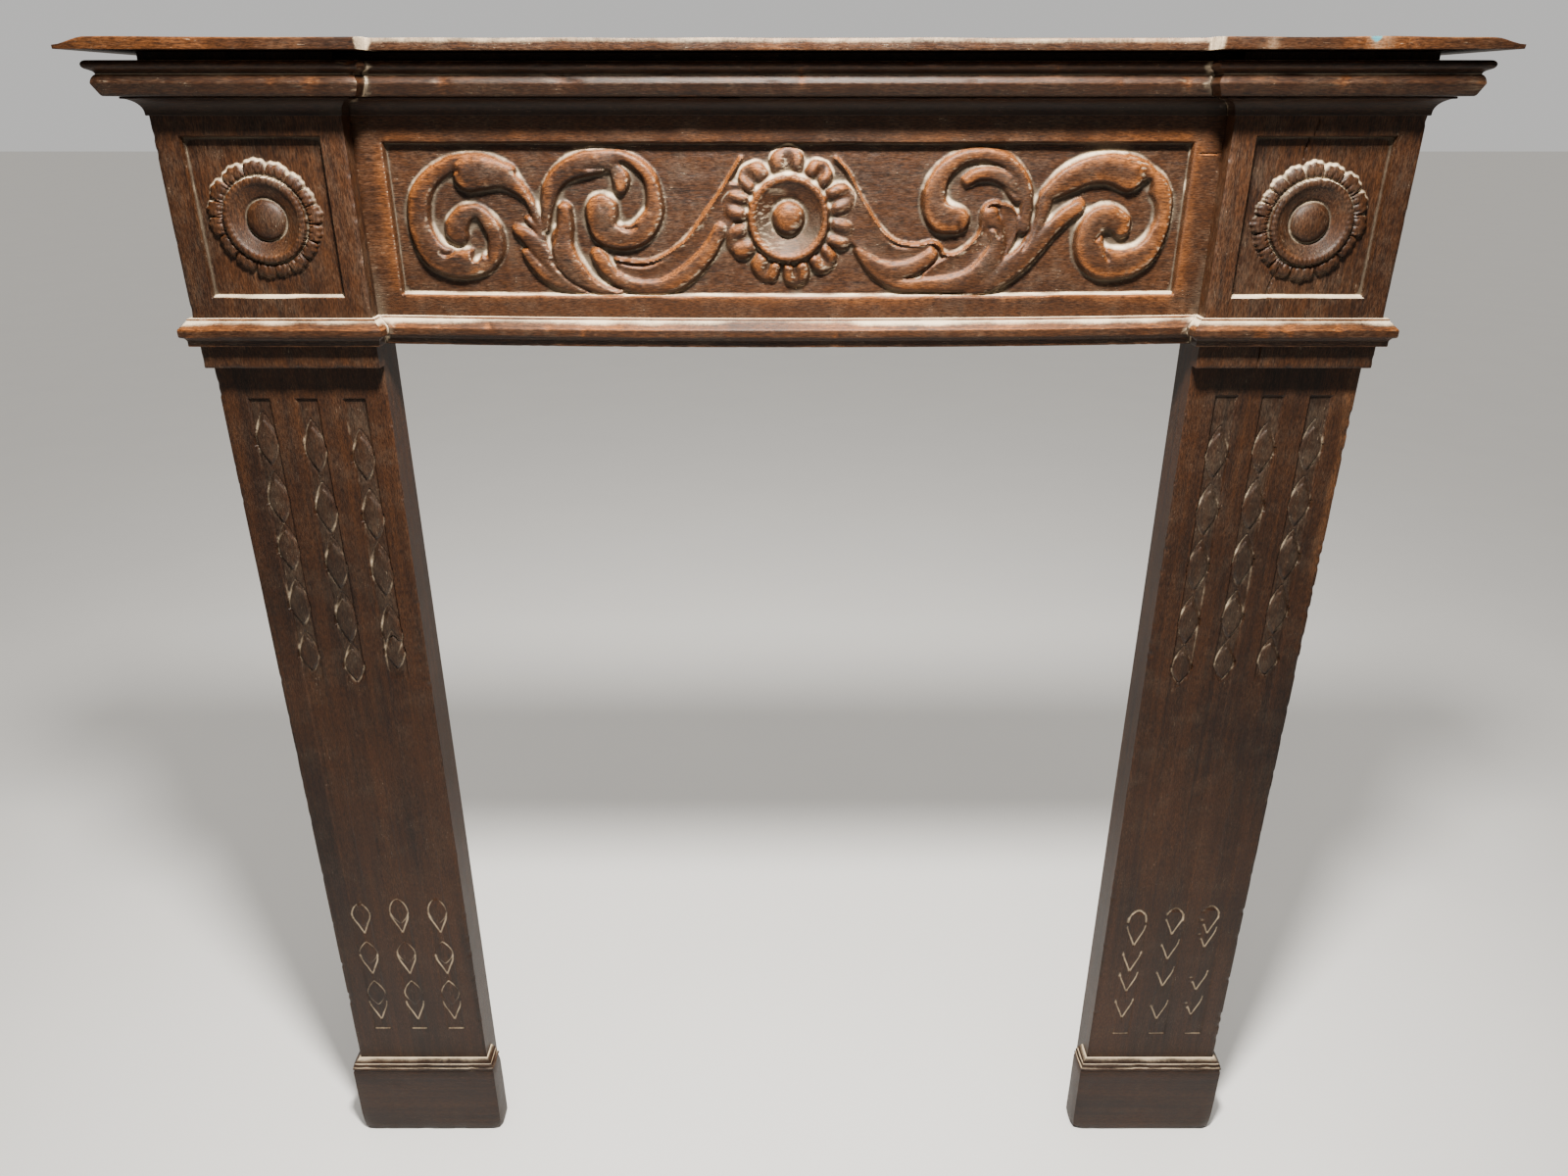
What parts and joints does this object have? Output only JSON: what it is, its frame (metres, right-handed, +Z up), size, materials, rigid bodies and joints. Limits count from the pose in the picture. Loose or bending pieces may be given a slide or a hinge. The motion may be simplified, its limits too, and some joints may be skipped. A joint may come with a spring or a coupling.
{
  "type": "carved wooden fireplace mantel",
  "caption": "Carved oak mantelpiece: fluted legs on plinths, scroll frieze between rosette blocks, stepped cornice and shelf round an open fireplace.",
  "frame": {"origin": "on the floor, under the middle of the mantel's box in width and depth", "axes": "+X to the right as seen from the room, +Y from the room towards the wall, +Z up"},
  "size_m": [1.372, 0.144, 1.495],
  "materials": {
    "leg_oak": "dark stained oak with a thin worn wax, vertical grain",
    "side_oak": "plain stained oak, duller than the front",
    "carved_oak": "carved dark oak with pale dust in the hollows",
    "moulding_oak": "moulded oak, edges worn paler",
    "shelf_oak": "worn oak, orange brown where rubbed",
    "plinth_oak": "dark scuffed oak, horizontal grain"
  },
  "bodies": {
    "root": {"shaft_left": "leg_oak", "shaft_right": "leg_oak", "cheek_left": "side_oak", "cheek_right": "side_oak", "capital_left": "carved_oak", "capital_right": "carved_oak", "frieze": "carved_oak", "shelf": "shelf_oak", "rail_front_left": "moulding_oak", "rail_inner_left": "moulding_oak", "rail_outer_left": "moulding_oak", "rail_front_right": "moulding_oak", "rail_inner_right": "moulding_oak", "rail_outer_right": "moulding_oak", "rail_centre": "moulding_oak", "bed_front_left": "moulding_oak", "bed_inner_left": "moulding_oak", "bed_outer_left": "moulding_oak", "bed_front_right": "moulding_oak", "bed_inner_right": "moulding_oak", "bed_outer_right": "moulding_oak", "bed_centre": "moulding_oak", "crown_front_left": "moulding_oak", "crown_inner_left": "moulding_oak", "crown_outer_left": "moulding_oak", "crown_front_right": "moulding_oak", "crown_inner_right": "moulding_oak", "crown_outer_right": "moulding_oak", "crown_centre": "moulding_oak", "plinth_front_left": "plinth_oak", "plinth_inner_left": "plinth_oak", "plinth_outer_left": "plinth_oak", "plinth_front_right": "plinth_oak", "plinth_inner_right": "plinth_oak", "plinth_outer_right": "plinth_oak", "plinth_cap_front_left": "plinth_oak", "plinth_cap_inner_left": "plinth_oak", "plinth_cap_outer_left": "plinth_oak", "plinth_cap_front_right": "plinth_oak", "plinth_cap_inner_right": "plinth_oak", "plinth_cap_outer_right": "plinth_oak"}
  },
  "joints": []
}
